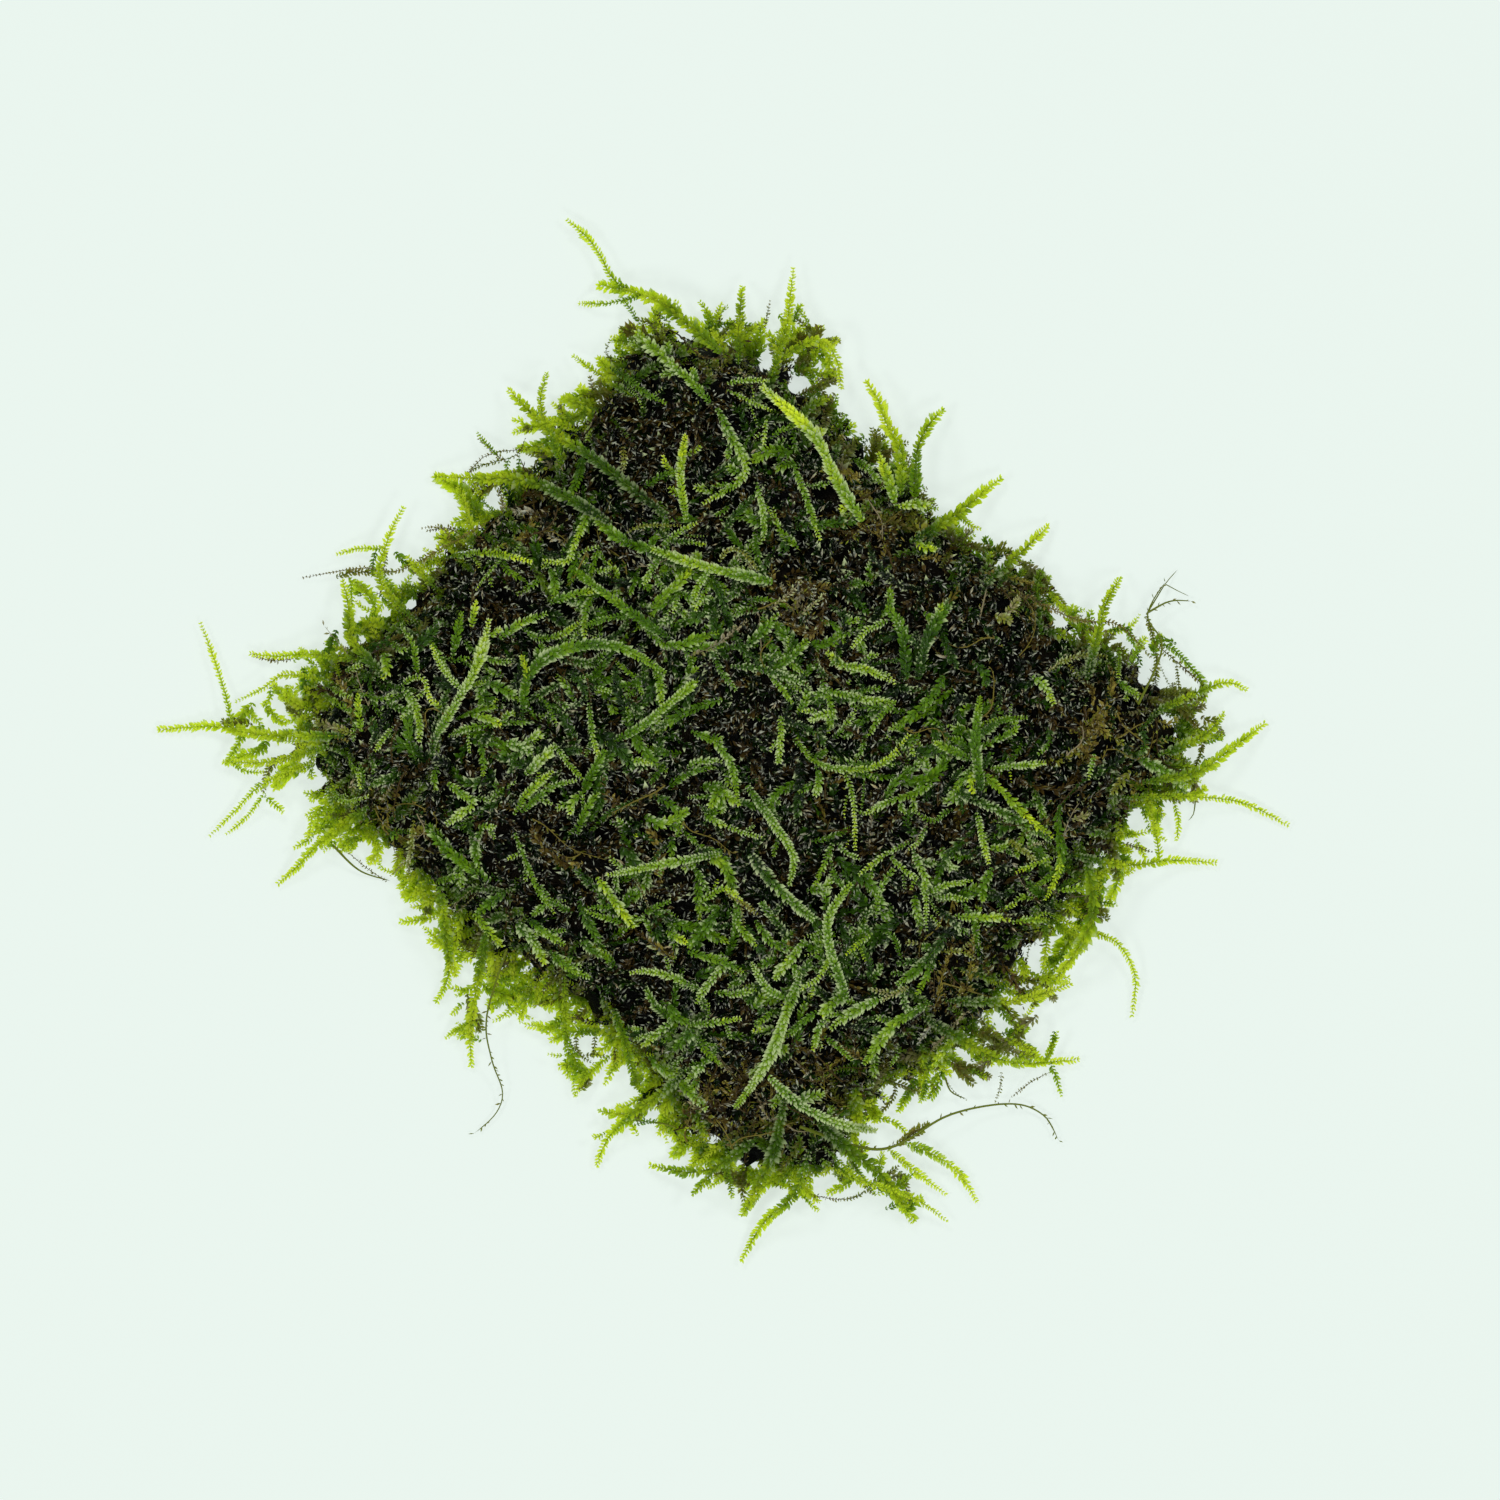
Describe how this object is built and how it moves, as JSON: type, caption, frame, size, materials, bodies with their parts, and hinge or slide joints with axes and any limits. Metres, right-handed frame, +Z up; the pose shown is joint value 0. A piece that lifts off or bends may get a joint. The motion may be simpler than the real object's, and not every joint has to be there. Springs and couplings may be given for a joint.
{
  "type": "java moss pad",
  "caption": "Square pad of matted java moss lying flat, with leafy shoots over its top and reaching past its ragged rim.",
  "frame": {"origin": "centre of the bounding box in plan, on the surface that the pad lies on", "axes": "+Z up, +X and +Y towards two of the square pad's corners, so that from above +X is the picture's right and +Y its top"},
  "size_m": [0.1436, 0.1322, 0.0176],
  "materials": {
    "matted_growth": "wet tangle of old dark stems and leaves",
    "bright_shoot": "wet translucent young leaves",
    "green_shoot": "wet leaves with a frosted edge",
    "brown_stem": "bare old stem"
  },
  "bodies": {
    "root": {"mat": "matted_growth", "rim_shoot_01": "bright_shoot", "rim_shoot_02": "bright_shoot", "rim_shoot_03": "bright_shoot", "rim_shoot_04": "bright_shoot", "rim_shoot_05": "bright_shoot", "rim_shoot_06": "bright_shoot", "rim_shoot_07": "bright_shoot", "rim_shoot_08": "bright_shoot", "rim_shoot_09": "bright_shoot", "rim_shoot_10": "bright_shoot", "rim_shoot_11": "bright_shoot", "rim_shoot_12": "bright_shoot", "rim_shoot_13": "bright_shoot", "rim_shoot_14": "bright_shoot", "rim_shoot_15": "bright_shoot", "rim_shoot_16": "bright_shoot", "rim_shoot_17": "bright_shoot", "rim_shoot_18": "bright_shoot", "rim_shoot_19": "bright_shoot", "rim_shoot_20": "bright_shoot", "rim_shoot_21": "bright_shoot", "rim_shoot_22": "bright_shoot", "rim_shoot_23": "bright_shoot", "rim_shoot_24": "bright_shoot", "rim_shoot_25": "bright_shoot", "rim_shoot_26": "bright_shoot", "rim_shoot_27": "bright_shoot", "rim_shoot_28": "bright_shoot", "rim_shoot_29": "bright_shoot", "rim_shoot_30": "bright_shoot", "rim_shoot_31": "bright_shoot", "rim_shoot_32": "bright_shoot", "rim_shoot_33": "bright_shoot", "rim_shoot_34": "bright_shoot", "rim_shoot_35": "bright_shoot", "rim_shoot_36": "bright_shoot", "rim_shoot_37": "bright_shoot", "rim_shoot_38": "bright_shoot", "rim_shoot_39": "bright_shoot", "rim_shoot_40": "bright_shoot", "top_shoot_01": "green_shoot", "top_shoot_02": "green_shoot", "top_shoot_03": "green_shoot", "top_shoot_04": "green_shoot", "top_shoot_05": "green_shoot", "top_shoot_06": "green_shoot", "top_shoot_07": "green_shoot", "top_shoot_08": "green_shoot", "top_shoot_09": "green_shoot", "top_shoot_10": "green_shoot", "top_shoot_11": "green_shoot", "top_shoot_12": "green_shoot", "top_shoot_13": "green_shoot", "top_shoot_14": "green_shoot", "brown_stem_01": "brown_stem", "brown_stem_02": "brown_stem", "runner_01": "brown_stem", "runner_02": "brown_stem", "runner_03": "brown_stem"}
  },
  "joints": []
}
